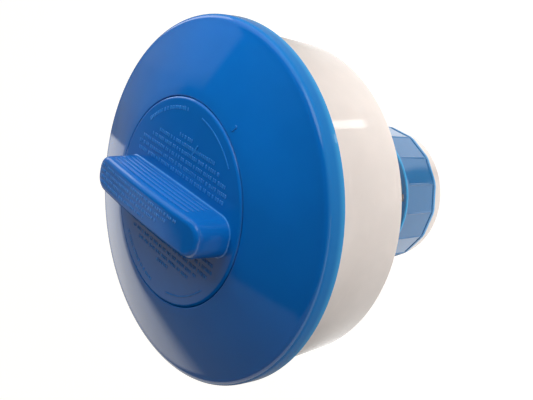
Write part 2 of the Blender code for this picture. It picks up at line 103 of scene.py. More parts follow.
# Lid.
LID_TOP_Z = 186.0
LID_FILLET = 1.7
SOCKET_INSET = 0.6
SOCKET_DEPTH = 0.8
BAR_LENGTH = 100.0
BAR_FOOT_WIDTH = 21.4
BAR_TOP_WIDTH = 19.6
BAR_CORNER = 9.2
BAR_END_DRAFT = 1.0
BAR_ARCH = 2.1
BAR_TOP_FILLET = 3.3
BAR_FOOT_FILLET = 1.3
RIDGE_COUNT = 4
RIDGE_PITCH = 3.1
RIDGE_FIRST_Z = 190.4
RIDGE_DEPTH = 0.75
RIDGE_START = -41.0
RIDGE_END = 34.0
RIDGE_FADE = 3.0
PLUG_WALL = 2.4
PLUG_RADIUS = 49.2

# Raised marks that stand where a maker would put wording.
MARK_HEIGHT = 0.2
MARK_TAPER = 0.12
MARK_ROOT = 0.6
BLOCK_WIDTHS = (0.75, 0.95, 1.2, 1.5)
BLOCK_GAPS = (0.45, 0.45, 0.55, 1.5)
ROW_PITCH = 3.9
ROW_HEIGHT = 2.0
FIRST_ROW_Y = 16.2
ROW_ENDS = ((-42.5, 39.0), (-43.0, 41.0), (-40.0, 38.0), (-31.5, 33.0), (-25.5, 26.5), (-7.0, 5.0))
ARC_RADIUS = 50.0
ARC_ROW_STARTS = (94.0, -139.0)
ARC_ROW_DEGREES = 43.0
TURN_LINE_STARTS = (42.0, -78.0)
TURN_LINE_DEGREES = 38.0
TURN_LINE_WIDTH = 0.6
LINE_HEIGHT = 0.3
DASH = ((5.9, 27.2), (10.2, 35.3))
DASH_WIDTH = 0.9
BAR_ROW_PITCH = 3.2
BAR_ROW_HEIGHT = 1.64
BAR_FIRST_ROW_Y = 4.8
BAR_ROW_LEFT = -43.5
BAR_ROW_RIGHTS = (34.0, 26.0, 18.0, 8.0)

# Lid lugs and throat ramps.
LID_LEAD = 24.0
LID_STARTS = 3
RAMP_SWEEP = 75.0
RAMP_LOW_Z = 166.0
RAMP_BORE = 49.6
LUG_SWEEP = 30.0
LUG_LAG = 5.0
LUG_RADIUS = 50.6
LUG_HEIGHT = 3.0
LUG_PLAY = 0.4

# Well and tablet tube.
WELL_BORE = 51.0
WELL_SHOULDER_Z = 152.4
SLEEVE_BORE = 43.5
SLEEVE_STOP_Z = 116.0
SLEEVE_STOP_RADIUS = 52.0
CANISTER_RADIUS = 43.0
CANISTER_BORE = 40.8
CLAMP_BORE = 44.6
FLANGE_Z = 154.5
SLOT_COUNT = 8
SLOT_WIDTH = 10.0
SLOT_LOW_Z = 17.0
SLOT_HIGH_Z = 33.0

# Dosing collar and its cam.
PANEL_COUNT = 16
PANEL_TURN = 7.5
PANEL_RIDGE_RADIUS = 47.6
COLLAR_BORE = 43.9
COLLAR_FOOT_LIP = 2.8
COLLAR_TOP_LIP = 2.8
LIP_GUIDE_RADIUS = 46.0
LIP_STEP = 0.5
COLLAR_SEAL_RADIUS = 45.8
COLLAR_SEAL_HEIGHT = 2.0
RIB_WIDTH = 0.7
RIB_HEIGHT = 0.42
CAM_LEAD = 36.0
CAM_TURN = 240.0
CAM_STARTS = 3
CAM_FIRST_ANGLE = 20.0
CAM_WIDTH = 4.6
CAM_FLOOR_RADIUS = 45.2
PEG_Z = 39.0
PEG_RADIUS = 1.9
PEG_TIP_RADIUS = 44.8

# End cap and grid.
CAP_FILLET = 4.0
CAP_TOP_Z = 9.6
CAP_RECESS_RADIUS = 34.0
CAP_FLOOR = 2.6
CAP_GROOVE_Z = 3.2
CAP_GROOVE_RADIUS = 43.5
CAP_SPIGOT_RADIUS = 40.3
GRID_HOLE = 11.0
GRID_WEB = 3.0
GRID_RIM = 3.5

# Lock nut and air plug.
NUT_NOTCHES = 8
NUT_NOTCH_DEPTH = 2.5
NUT_NOTCH_DEGREES = 9.0
NUT_TURN = 3.75
AIR_HOLE_RADIUS = 4.0

# Camera and the direction that counts as up in the picture.
CAMERA_AT = (0.2534, 0.1201, 0.3748)
CAMERA_FORWARD = (-0.6661, -0.3198, -0.6738)
CAMERA_UP = (-0.4017, 0.9150, -0.0372)
SENSOR_MM = 36.0
LENS_MM = 42.55
FLOOR_RADIUS = 6.0

# Studio: radiance of the room round the object.
PICTURE_UP_AZIMUTH = 113.7
TABLE_TILT = 0.46
TABLE_LEVEL = 1.2
HAZE_LEVEL = 0.28
PATCH_LEVEL = 0.28
SIDE_AZIMUTH = -164.5
WINDOW_LEVEL = 2.2
SHEEN_LEVEL = 2.6
SHEEN_AZIMUTH = 143.5
SKY_SEEN = 1.3
WALL_LEVEL = 0.36
WALL_TOP_LEVEL = 0.9
ROOM_LEVEL = 0.04
DIFFUSE_SHARE = 0.5
STUDIO_WHITE = (1.0, 0.985, 0.96)
POOL_LEVEL = 1.2
FLOOR_LEVEL = 0.17
FAR_LEVEL = 1.2
DARK_SPOT_AT = (0.050, 0.046, 0.0)
DARK_SPOT_TURN = 52.0
FLOOR_SEEN = 0.95


# -------- outlines


def node_span(node):
    """The lowest and highest corners of a CAD node, in millimetres."""
    low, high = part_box(node)
    return low / MM, high / MM


def rounded(corners, closed=True):
    """The points of an outline whose corners are (radius, z, fillet)."""
    points = []
    for i, (radius, z, fillet) in enumerate(corners):
        here = Vector((radius, z))
        inside = closed or 0 < i < len(corners) - 1
        if not fillet or not inside:
            points.append(here)
            continue
        back = (Vector(corners[i - 1][:2]) - here).normalized()
        ahead = (Vector(corners[(i + 1) % len(corners)][:2]) - here).normalized()
        half = back.angle(ahead) / 2
        centre = here + (back + ahead).normalized() * (fillet / math.sin(half))
        reach = fillet / math.tan(half)
        start = here + back * reach - centre
        turn = start.angle_signed(here + ahead * reach - centre)
        steps = max(3, round(abs(math.degrees(turn)) / ARC_STEP_DEGREES))
        for step in range(steps + 1):
            spoke = start.copy()
            spoke.rotate(Matrix.Rotation(-turn * step / steps, 2))
            points.append(centre + spoke)
    return points


def block_section(inner, outer, low, high, fillet):
    return rounded([(inner, low, fillet), (outer, low, fillet), (outer, high, fillet), (inner, high, fillet)])


# -------- mesh tools


def even_angles(count=SEGMENTS):
    return [math.tau * k / count for k in range(count)]


def polar(radius, angle):
    return radius * math.cos(angle), radius * math.sin(angle)


def circle(radius, count):
    return [polar(radius, angle) for angle in even_angles(count)]


def bridge(bm, rings):
    """Side faces from each ring of corners to the next."""
    for ring, following in zip(rings, rings[1:]):
        for i in range(len(ring)):
            bm.faces.new((ring[i - 1], ring[i], following[i], following[i - 1]))


def spread(count, first=0.0):
    """Angles in degrees, evenly spaced round the axis."""
    return [first + 360.0 * k / count for k in range(count)]


def turned(degrees):
    return Matrix.Rotation(math.radians(degrees), 4, "Z")


def lathe(outline, angles=None):
    """A solid of revolution. A point's radius may be a function of the angle."""
    angles = angles or even_angles()
    bm = bmesh.new()
    rings = []
    for radius, z in outline:
        if not callable(radius) and radius < WELD:
            rings.append([bm.verts.new((0.0, 0.0, z))])
            continue
        ring = []
        for angle in angles:
            reach = radius(angle) if callable(radius) else radius
            ring.append(bm.verts.new((*polar(reach, angle), z)))
        rings.append(ring)
    count = len(angles)
    for i, ring in enumerate(rings):
        before = rings[i - 1]
        if len(ring) == 1 and len(before) == 1:
            continue
        for k in range(count):
            n = (k + 1) % count
            corners = [before[k % len(before)], before[n % len(before)]]
            corners += [ring[n % len(ring)], ring[k % len(ring)]]
            bm.faces.new(list(dict.fromkeys(corners)))
    bmesh.ops.recalc_face_normals(bm, faces=bm.faces)
    return bm


def helical_bar(bm, inner, outer, height, low_z, lead, start, sweep, chamfer=0.0):
    """A bar that climbs round the axis. Angles are in degrees."""
    steps = math.ceil(sweep * SEGMENTS / 360.0)
    rings = []
    for step in range(steps + 1):
        turn = sweep * step / steps
        angle = math.radians(start + turn)
        base = low_z + lead * turn / 360.0
        section = dict.fromkeys((
            (inner, base), (outer - chamfer, base), (outer, base + chamfer),
            (outer, base + height - chamfer), (outer - chamfer, base + height), (inner, base + height),
        ))
        rings.append([bm.verts.new((*polar(radius, angle), z)) for radius, z in section])
    bridge(bm, rings)
    bm.faces.new(rings[0])
    bm.faces.new(list(reversed(rings[-1])))


def add_prism(bm, plan, low, high, place=None, taper=0.0):
    """An upright prism on a list of (x, y), drawn in by the taper at its top."""
    place = place or Matrix()
    middle = Vector((sum(x for x, _ in plan) / len(plan), sum(y for _, y in plan) / len(plan)))
    levels = [(low, 0.0), (high, taper)]
    if taper:
        levels.insert(1, (high - taper, 0.0))
    rings = []
    for z, share in levels:
        ring = []
        for point in plan:
            out = Vector(point) - middle
            at = middle + out * max(0.0, 1.0 - share / max(out.length, WELD))
            ring.append(bm.verts.new(place @ Vector((at.x, at.y, z))))
        rings.append(ring)
    bridge(bm, rings)
    bm.faces.new(list(reversed(rings[0])))
    bm.faces.new(rings[-1])


# The corners of a plan, anticlockwise from +x, +y: (number, side along x, side along y).
CORNERS = ((0, 1, 1), (1, -1, 1), (2, -1, -1), (3, 1, -1))


def round_rectangle(length, width, corner, steps=6):
    """Plan points of a rectangle with round corners, anticlockwise from the +X side."""
    points = []
    for quarter, sx, sy in CORNERS:
        centre = Vector((sx * (length / 2 - corner), sy * (width / 2 - corner)))
        for step in range(steps + 1):
            points.append(centre + Vector(polar(corner, math.pi / 2 * (quarter + step / steps))))
    return points


def radial_peg(bm, radius, inner, outer, z, angle, sides=28):
    lie = Matrix.Translation(((inner + outer) / 2, 0.0, z)) @ Matrix.Rotation(math.pi / 2, 4, "Y")
    bmesh.ops.create_cone(
        bm, cap_ends=True, segments=sides, radius1=radius, radius2=radius, depth=outer - inner,
        matrix=turned(angle) @ lie,
    )


def scratch_object(bm):
    bmesh.ops.recalc_face_normals(bm, faces=bm.faces)
    mesh = bpy.data.meshes.new("scratch")
    bm.to_mesh(mesh)
    bm.free()
    obj = bpy.data.objects.new("scratch", mesh)
    bpy.context.scene.collection.objects.link(obj)
    return obj


def combined(bm, *steps):
    """The solid after each (operation, tool) in turn."""
    base = scratch_object(bm)
    tools = []
    for operation, tool in steps:
        tools.append(scratch_object(tool))
        modifier = base.modifiers.new("step", "BOOLEAN")
        modifier.solver = "MANIFOLD"
        modifier.operation = operation
        modifier.object = tools[-1]
    graph = bpy.context.evaluated_depsgraph_get()
    made = bpy.data.meshes.new_from_object(base.evaluated_get(graph))
    result = bmesh.new()
    result.from_mesh(made)
    bpy.data.meshes.remove(made)
    for obj in [base, *tools]:
        mesh = obj.data
        bpy.data.objects.remove(obj)
        bpy.data.meshes.remove(mesh)
    return result


def piece(name, bm, material, body, slot, *nodes, at=(0.0, 0.0)):
    """A finished piece that rides on a body and stands for CAD nodes."""
    bmesh.ops.recalc_face_normals(bm, faces=bm.faces)
    bmesh.ops.translate(bm, vec=(*at, 0.0), verts=bm.verts)
    bmesh.ops.scale(bm, vec=(MM, MM, MM), verts=bm.verts)
    mesh = bpy.data.meshes.new(name)
    bm.to_mesh(mesh)
    bm.free()
    mesh.shade_smooth()
    mesh.set_sharp_from_angle(angle=math.radians(SHARP_DEGREES))
    mesh.materials.append(material)
    obj = bpy.data.objects.new(name, mesh)
    bpy.context.scene.collection.objects.link(obj)
    normals = obj.modifiers.new("normals", "WEIGHTED_NORMAL")
    normals.keep_sharp = True
    normals.weight = 80
    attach(obj, body)
    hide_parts(*nodes)
    return obj


# -------- materials


class Nodes:
    """Short ways to add shader nodes to a material or a world."""

    def __init__(self, owner, shader="Principled BSDF", source="ShaderNodeTexCoord", place="Object"):
        owner.use_nodes = True
        self.owner = owner
        self.tree = owner.node_tree
        self.shader = self.tree.nodes[shader]
        self.place = self.add(source).outputs[place]

    def add(self, kind, inputs=(), **settings):
        node = self.tree.nodes.new(kind)
        for key, value in settings.items():
            setattr(node, key, value)
        for key, value in dict(inputs).items():
            if isinstance(value, bpy.types.NodeSocket):
                self.tree.links.new(value, node.inputs[key])
            else:
                node.inputs[key].default_value = value
        return node

    def noise(self, scale, detail=2.0, roughness=0.5, stretch=None):
        place = self.vector("MULTIPLY", self.place, stretch) if stretch else self.place
        inputs = {"Vector": place, "Scale": scale, "Detail": detail, "Roughness": roughness}
        return self.add("ShaderNodeTexNoise", inputs).outputs["Fac"]

    def ramp(self, value, low, high, to_low=0.0, to_high=1.0, kind="SMOOTHSTEP"):
        inputs = {"Value": value, "From Min": low, "From Max": high, "To Min": to_low, "To Max": to_high}
        return self.add("ShaderNodeMapRange", inputs, interpolation_type=kind).outputs["Result"]

    def mixed(self, factor, first, second):
        """A mix of two colours, each a socket or a tuple."""
        first, second = [(*tint, 1.0) if isinstance(tint, tuple) else tint for tint in (first, second)]
        return self.add("ShaderNodeMix", {0: factor, 6: first, 7: second}, data_type="RGBA").outputs[2]

    def maths(self, operation, total, *others):
        for value in others:
            total = self.add("ShaderNodeMath", {0: total, 1: value}, operation=operation).outputs[0]
        return total

    def times(self, *values):
        return self.maths("MULTIPLY", *values)

    def most(self, *values):
        return self.maths("MAXIMUM", *values)

    def vector(self, operation, *values):
        node = self.add("ShaderNodeVectorMath", dict(enumerate(values)), operation=operation)
        return node.outputs["Vector" if operation == "MULTIPLY" else "Value"]

    def axis(self, name):
        """The place's coordinate along an axis, in metres."""
        return self.add("ShaderNodeSeparateXYZ", {0: self.place}).outputs[name]

    def reach(self):
        """The place's distance from the upright axis, in metres."""
        return self.vector("LENGTH", self.vector("MULTIPLY", self.place, (1.0, 1.0, 0.0)))

    def along(self, axis, low, high, to_low=0.0, to_high=1.0, kind="SMOOTHSTEP"):
        """A step in the place's share along an axis, which need not be of unit length."""
        return self.ramp(self.vector("DOT_PRODUCT", self.place, axis), low, high, to_low, to_high, kind)

    def bump(self, height, strength, distance, below=None):
        inputs = {"Height": height, "Strength": strength, "Distance": distance}
        if below:
            inputs["Normal"] = below
        return self.add("ShaderNodeBump", inputs).outputs["Normal"]

    def light_path(self, kind):
        return self.add("ShaderNodeLightPath").outputs[kind]

    def connect(self, **sockets):
        for key, value in sockets.items():
            self.tree.links.new(value, self.shader.inputs[key.replace("_", " ")])

    def fixed(self, **values):
        for key, value in values.items():
            self.shader.inputs[key.replace("_", " ")].default_value = value


def shade(colour, factor):
    return tuple(min(1.0, channel * factor) for channel in colour)


def moulded_plastic(
    name, colour, worn, roughness, peel, glow=0.0, glow_radius=(0.1, 0.4, 1.0), coat=0.0,
    tints=(), edge=None, dull=None,
):
    """Injection-moulded plastic: cloudy pigment, orange peel, hairline scratches and rubbed edges.

    Each of tints is (mask maker, colour), a lighter colour painted in as a glow of
    light through thin places or as a painted highlight. Edge is a glow colour painted
    along every edge, and dull makes the mask where the sheen is taken out as painted shade.
    """
    nodes = Nodes(bpy.data.materials.new(name))
    clouds = nodes.noise(16.0, 4.0, 0.55)
    streaks = nodes.noise(34.0, 3.0, 0.6, (1.0, 1.0, 4.0))
    speckle = nodes.noise(2600.0, 1.0)
    tone = nodes.mixed(nodes.ramp(clouds, 0.3, 0.7), shade(colour, 0.93), shade(colour, 1.06))
    tone = nodes.mixed(nodes.ramp(streaks, 0.58, 0.8, 0.0, 0.35), tone, shade(colour, 1.12))
    tone = nodes.mixed(nodes.ramp(speckle, 0.66, 0.8, 0.0, 0.25), tone, shade(colour, 0.8))
    softened = nodes.add("ShaderNodeBevel", {"Radius": 0.0005}, samples=4).outputs["Normal"]
    true_normal = nodes.add("ShaderNodeNewGeometry").outputs["Normal"]
    edges = nodes.ramp(nodes.vector("DOT_PRODUCT", softened, true_normal), 0.93, 0.75)
    # Painted glow and painted highlight: each tint lays a lighter colour in its mask.
    for mask, tint in tints:
        tone = nodes.mixed(mask(nodes), tone, tint)
    # Painted glow: the edge colour laid along every edge.
    if edge:
        tone = nodes.mixed(nodes.times(edges, 0.8), tone, edge)
    rubbed = nodes.times(edges, nodes.ramp(nodes.noise(120.0, 4.0, 0.7), 0.42, 0.7, 0.0, 0.45))
    tone = nodes.mixed(rubbed, tone, worn)

    hair_one = nodes.ramp(nodes.noise(60.0, 2.0, 0.5, (1.0, 34.0, 9.0)), 0.71, 0.76)
    hair_two = nodes.ramp(nodes.noise(60.0, 2.0, 0.5, (30.0, 1.6, 11.0)), 0.73, 0.78)
    patches = nodes.ramp(nodes.noise(22.0, 2.0), 0.45, 0.7)
    hairs = nodes.times(nodes.most(hair_one, hair_two), patches)
    gloss = nodes.ramp(nodes.noise(45.0, 5.0, 0.65), 0.3, 0.75, roughness * 0.8, roughness * 1.35)
    gloss = nodes.maths("ADD", gloss, nodes.times(hairs, SCUFFS * 0.5), nodes.times(rubbed, 0.25))

    waves = nodes.bump(nodes.noise(70.0, 2.0, 0.4), peel, 0.0006)
    grain = nodes.bump(nodes.noise(900.0, 2.0, 0.5), peel * 0.7, 0.00006, waves)
    marks = nodes.bump(hairs, SCUFFS * 0.25, 0.00002, grain)
    nodes.connect(Base_Color=tone, Roughness=gloss, Normal=marks)
    nodes.fixed(IOR=1.49, Specular_IOR_Level=0.5)
    # Painted shade: the sheen is taken out in the dull mask.
    if dull:
        nodes.connect(Specular_IOR_Level=nodes.ramp(dull(nodes), 0.0, 1.0, 0.5, 0.0))
    if glow:
        nodes.fixed(Subsurface_Weight=glow, Subsurface_Radius=glow_radius, Subsurface_Scale=0.004)
    if coat:
        nodes.fixed(Coat_Weight=coat, Coat_Roughness=0.05)
    return nodes.owner


def skirt_glow_mask(nodes):
    """Grows over the shoulder of the disc, where the wall turns into the thin skirt; the lighter blue laid in
    this mask is a painted glow of light through the thin wall.
    """
    return nodes.ramp(nodes.reach(), (SHOULDER_RADIUS - 1.6) * MM, (SHOULDER_RADIUS + 0.2) * MM)


def skirt_edge_glow_mask(nodes):
    """The free edge of the skirt and the band above it, painted a lighter blue still as a glow of the light
    it lets through.
    """
    band = nodes.ramp(nodes.axis("Z"), SKIRT_EDGE_TOP_Z * MM, SKIRT_EDGE_FULL_Z * MM)
    return nodes.times(band, skirt_glow_mask(nodes))


def collar_lip_glow_mask(nodes):
    """The outer edges of the dosing collar's two lips, painted lighter as a glow, and the mouth of its bore,
    painted lighter where it lies in shade: painted glow and painted light.
    """
    low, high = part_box("dosing_collar")
    height, reach = nodes.axis("Z"), nodes.reach()
    foot = nodes.ramp(height, low.z + 0.0018, low.z + 0.0012)
    rim = nodes.ramp(reach, high.x - 0.0009, high.x - 0.0005)
    top = nodes.times(nodes.ramp(height, high.z - 0.0016, high.z - 0.0011), rim)
    bore = nodes.ramp(reach, (COLLAR_BORE + 0.5) * MM, (COLLAR_BORE + 0.2) * MM)
    mouth = nodes.times(nodes.ramp(height, high.z - 0.012, high.z - 0.004), bore)
    return nodes.most(foot, top, mouth)


def lid_shade_dull_mask(nodes):
    """The -Y edges of the bar and of the lid, and the marks on that side, in the shade of the bar: their
    sheen is taken out as painted shade.
    """
    across = nodes.axis("Y")
    half = BAR_TOP_WIDTH / 2
    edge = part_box("lid_cover")[1].x
    side = nodes.ramp(across, (2.8 - half) * MM, (1.6 - half) * MM)
    bar = nodes.times(side, nodes.ramp(nodes.axis("Z"), (LID_TOP_Z + 1.0) * MM, (LID_TOP_Z + 2.0) * MM))
    rim = nodes.ramp(nodes.reach(), edge - 0.0018, edge - 0.0010)
    rim = nodes.times(rim, nodes.ramp(across, 0.01, -0.02))
    marks = nodes.times(lid_mark_mask(nodes), nodes.ramp(across, 0.0, -0.012))
    return nodes.most(marks, bar, rim)


def lid_mark_mask(nodes):
    """The faces of the raised marks on the lid's plate and along the arched bar."""
    height, along = nodes.axis("Z"), nodes.axis("X")
    plate_low = nodes.ramp(height, (LID_TOP_Z + 0.05) * MM, (LID_TOP_Z + 0.16) * MM)
    plate_high = nodes.ramp(height, (LID_TOP_Z + 0.6) * MM, (LID_TOP_Z + 0.5) * MM)
    drop = nodes.times(along, along, BAR_ARCH / (BAR_LENGTH / 2) ** 2 / MM)
    bar_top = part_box("lid_cover")[1].z - MARK_HEIGHT * MM
    bar = nodes.ramp(nodes.maths("ADD", height, drop), bar_top + 0.00005, bar_top + 0.00016)
    return nodes.times(nodes.most(nodes.times(plate_low, plate_high), bar), 0.7)


def seal_rubber():
    """Matt black EPDM with a fine grain, a dusty bloom and mould flow."""
    nodes = Nodes(bpy.data.materials.new("seal_rubber"))
    bloom = nodes.ramp(nodes.noise(90.0, 4.0, 0.7), 0.45, 0.75, 0.0, 0.5)
    tone = nodes.mixed(bloom, (0.018, 0.018, 0.019), (0.06, 0.06, 0.058))
    gloss = nodes.ramp(nodes.noise(300.0, 3.0, 0.6), 0.3, 0.7, 0.55, 0.78)
    grain = nodes.bump(nodes.noise(1800.0, 3.0, 0.6), 0.3, 0.00008)
    nodes.connect(Base_Color=tone, Roughness=gloss, Normal=grain)
    nodes.fixed(IOR=1.52)
    return nodes.owner


BLUE = (0.0015, 0.100, 0.370)
BLUE_WORN = (0.06, 0.22, 0.52)
# Lighter blues for the disc's skirt and its edge: a painted glow of light through the thin wall.
SKIRT_GLOW_BLUE = (0.002, 0.150, 0.440)
SKIRT_EDGE_GLOW_BLUE = (0.03, 0.27, 0.56)
# Lighter blue on the faces of the raised marks: a painted highlight.
MARK_HIGHLIGHT_BLUE = (0.02, 0.175, 0.52)
COLLAR_BLUE = (0.003, 0.112, 0.29)
# Lighter blue on the collar's edges, lips and bore mouth: painted glow and painted light.
COLLAR_GLOW_BLUE = (0.02, 0.27, 0.56)
WHITE = (0.85, 0.765, 0.725)
WHITE_WORN = (0.70, 0.66, 0.62)
INNER = (0.80, 0.79, 0.76)
SCUFFS = 0.35


def make_materials():
    return {
        "disc": moulded_plastic(
            "disc_blue_gloss", BLUE, BLUE_WORN, 0.055, 0.035, glow=0.12,
            # The skirt tints are a painted glow.
            tints=((skirt_glow_mask, SKIRT_GLOW_BLUE), (skirt_edge_glow_mask, SKIRT_EDGE_GLOW_BLUE)),
        ),
        "lid": moulded_plastic(
            # The lighter marks are a painted highlight.
            "lid_blue_gloss", BLUE, BLUE_WORN, 0.08, 0.05, glow=0.12, tints=((lid_mark_mask, MARK_HIGHLIGHT_BLUE),),
            # Painted shade: sheen taken out in the bar's shade.
            dull=lid_shade_dull_mask,
        ),
        "collar": moulded_plastic(
            "collar_blue_gloss", COLLAR_BLUE, BLUE_WORN, 0.12, 0.05, glow=0.10, coat=0.3,
            # Collar tint and edge colour: painted glow, and painted light in the bore's mouth.
            tints=((collar_lip_glow_mask, COLLAR_GLOW_BLUE),), edge=COLLAR_GLOW_BLUE,
        ),
        "drum": moulded_plastic(
            "drum_white_gloss", WHITE, WHITE_WORN, 0.085, 0.04, glow=0.15, glow_radius=(1.0, 0.8, 0.7)
        ),
        "tube": moulded_plastic("tube_white_satin", WHITE, WHITE_WORN, 0.32, 0.08),
        "cap": moulded_plastic("cap_white_gloss", shade(WHITE, 0.7), shade(WHITE_WORN, 0.8), 0.18, 0.05),
        "inner": moulded_plastic("inner_white_satin", INNER, shade(INNER, 0.85), 0.38, 0.10),
        "rubber": seal_rubber(),
    }


# -------- float


def dome_height(radius, seam_z):
    return seam_z - DOME_FALL * max(0.0, radius - DOME_START) ** DOME_POWER


def make_disc(material):
    low, high = node_span("float_top")
    edge_radius = high.x
    seam_z = high.z
    ledge_z = node_span("well_tube")[1].z + LEDGE_OVER_WELL
    skirt_bore = edge_radius - SKIRT_WALL
    seat_inner = skirt_bore - RIM_SEAT_WIDTH
    recess_back = RECESS_RADIUS + WALL
    dome_step = (DOME_LAST_RADIUS - DOME_FIRST_RADIUS) / DOME_STEPS
    dome_radii = [DOME_FIRST_RADIUS + dome_step * k for k in range(DOME_STEPS + 1)]
    skirt = rounded([
        (seat_inner, RIM_SEAT_Z, 0.5), (skirt_bore, RIM_SEAT_Z, 0.8), (skirt_bore, low.z, 0.7),
        (edge_radius, low.z, 0.9), (SHOULDER_RADIUS, SHOULDER_Z, SHOULDER_FILLET),
        (dome_radii[-1], dome_height(dome_radii[-1], seam_z), 0),
    ], closed=False)
    dome = [Vector((r, dome_height(r, seam_z))) for r in reversed(dome_radii[:-1])]
    seam = rounded([
        (dome_radii[1], dome_height(dome_radii[1], seam_z), 0),
        (RECESS_RADIUS, seam_z + 0.05, SEAM_FILLET), (RECESS_RADIUS, ledge_z, 0.3),
        (LEDGE_BORE, ledge_z, 0.5), (LEDGE_BORE, ledge_z - WALL, 0.5),
        (recess_back, ledge_z - WALL, 1.0), (recess_back, seam_z - WALL - 0.6, 1.0),
        (SHELL_KNEE_RADIUS, SHELL_KNEE_Z - SKIRT_WALL, 0), (seat_inner, RIM_SEAT_Z + WALL, 0.6),
        (seat_inner, RIM_SEAT_Z, 0),
    ], closed=False)[1:-1]
    outline = skirt + dome[:-1] + seam
    pointer = bmesh.new()
    at = Vector((POINTER_RADIUS, 0.0, dome_height(POINTER_RADIUS, seam_z)))
    slope = math.atan(dome_height(POINTER_RADIUS - 0.5, seam_z) - dome_height(POINTER_RADIUS + 0.5, seam_z))
    lie = turned(POINTER_ANGLE) @ Matrix.Translation(at) @ Matrix.Rotation(slope, 4, "Y")
    plan = round_rectangle(POINTER_LENGTH, POINTER_WIDTH, 0.7, 3)
    add_prism(pointer, plan, -1.0, POINTER_HEIGHT, lie, 0.2)
    disc = combined(lathe(outline), ("UNION", pointer))
    return piece("disc_shell", disc, material, "float", "blue_disc", "float_top")


def make_drum(material):
    low, high = node_span("float_bottom")
    rim_low = high.z - DRUM_RIM_HEIGHT
    floor_z = low.z + WALL
    sleeve_hole = SLEEVE_BORE + WALL + GAP
    drum = lathe(rounded([
        (high.x, high.z, 0.3), (high.x, rim_low, 0.3), (DRUM_TOP_RADIUS, rim_low, 0.4),
        (DRUM_FOOT_RADIUS, low.z, 1.4), (sleeve_hole, low.z, 0.6), (sleeve_hole, floor_z, 0.6),
        (DRUM_FOOT_RADIUS - WALL, floor_z, 2.0), (DRUM_TOP_RADIUS - WALL, high.z, 0.3),
    ]))
    hole = bmesh.new()
    plug_low, plug_high = node_span("air_plug")
    x, y = (plug_low.xy + plug_high.xy) / 2
    place = Matrix.Translation((x, y, 0.0))
    add_prism(hole, circle(AIR_HOLE_RADIUS, 36), low.z - WALL, floor_z + WALL, place)
    marks = bmesh.new()
    pin = circle(EJECTOR_RADIUS, 30)
    for angle in spread(EJECTOR_COUNT, EJECTOR_TURN):
        spot = polar(EJECTOR_CIRCLE, math.radians(angle))
        add_prism(marks, pin, low.z - 1.0, low.z + 0.18, Matrix.Translation((*spot, 0.0)))
    drum = combined(drum, ("DIFFERENCE", hole), ("DIFFERENCE", marks))
    return piece("drum_shell", drum, material, "float", "white_drum", "float_bottom")


def make_air_plug(material):
    low, high = node_span("air_plug")
    x, y = (low.xy + high.xy) / 2
    head = (high.x - low.x) / 2
    stem = AIR_HOLE_RADIUS - 0.5
    outline = rounded([
        (0.0, low.z + 0.5, 0), (2.2, low.z + 0.5, 0.2), (2.8, low.z, 0.2), (head, low.z, 0.6),
        (head, low.z + 1.5, 0.2), (stem, low.z + 1.5, 0.2), (stem, high.z, 0.8), (0.0, high.z, 0),
    ])
    plug = lathe(outline, even_angles(64))
    return piece("air_plug_head", plug, material, "float", "inner_white", "air_plug", at=(x, y))


def make_well(material):
    low, high = node_span("well_tube")
    flange = high.x
    sleeve = SLEEVE_BORE + WALL
    well = WELL_BORE + WALL
    outline = rounded([
        (flange, high.z, 0.5), (flange, high.z - WALL, 0.5), (well, high.z - WALL, 0.8),
        (well, WELL_SHOULDER_Z - WALL, 1.2), (sleeve, WELL_SHOULDER_Z - WALL, 0.8),
        (sleeve, SLEEVE_STOP_Z + WALL, 0.5), (SLEEVE_STOP_RADIUS, SLEEVE_STOP_Z + WALL, 0.4),
        (SLEEVE_STOP_RADIUS, SLEEVE_STOP_Z, 0.4), (sleeve, SLEEVE_STOP_Z, 0.5),
        (sleeve, low.z, 0.6), (SLEEVE_BORE, low.z, 0.5), (SLEEVE_BORE, WELL_SHOULDER_Z, 0.8),
        (WELL_BORE, WELL_SHOULDER_Z, 0.8), (WELL_BORE, high.z, 0.8),
    ])
    ramps = bmesh.new()
    ramp_back = WELL_BORE + WALL / 3
    for start in spread(LID_STARTS):
        helical_bar(ramps, ramp_back, RAMP_BORE, LUG_HEIGHT, RAMP_LOW_Z, LID_LEAD, start, RAMP_SWEEP)
    tube = combined(lathe(outline), ("UNION", ramps))
    return piece("throat_and_sleeve", tube, material, "float", "inner_white", "well_tube")


def make_lock_nut(material):
    low, high = node_span("lock_nut")
    inner = SLEEVE_BORE + WALL + 0.4
    nut = lathe(block_section(inner, high.x, low.z, high.z, 0.5))
    notches = bmesh.new()
    width = 2 * high.x * math.tan(math.radians(NUT_NOTCH_DEGREES / 2))
    plan = round_rectangle(2 * NUT_NOTCH_DEPTH, width, 0.8, 3)
    for angle in spread(NUT_NOTCHES, NUT_TURN):
        place = turned(angle) @ Matrix.Translation((high.x, 0.0, 0.0))
        add_prism(notches, plan, low.z - 1.0, high.z + 1.0, place)
    nut = combined(nut, ("DIFFERENCE", notches))
    return piece("ring_nut", nut, material, "float", "inner_white", "lock_nut")


# -------- tablet tube


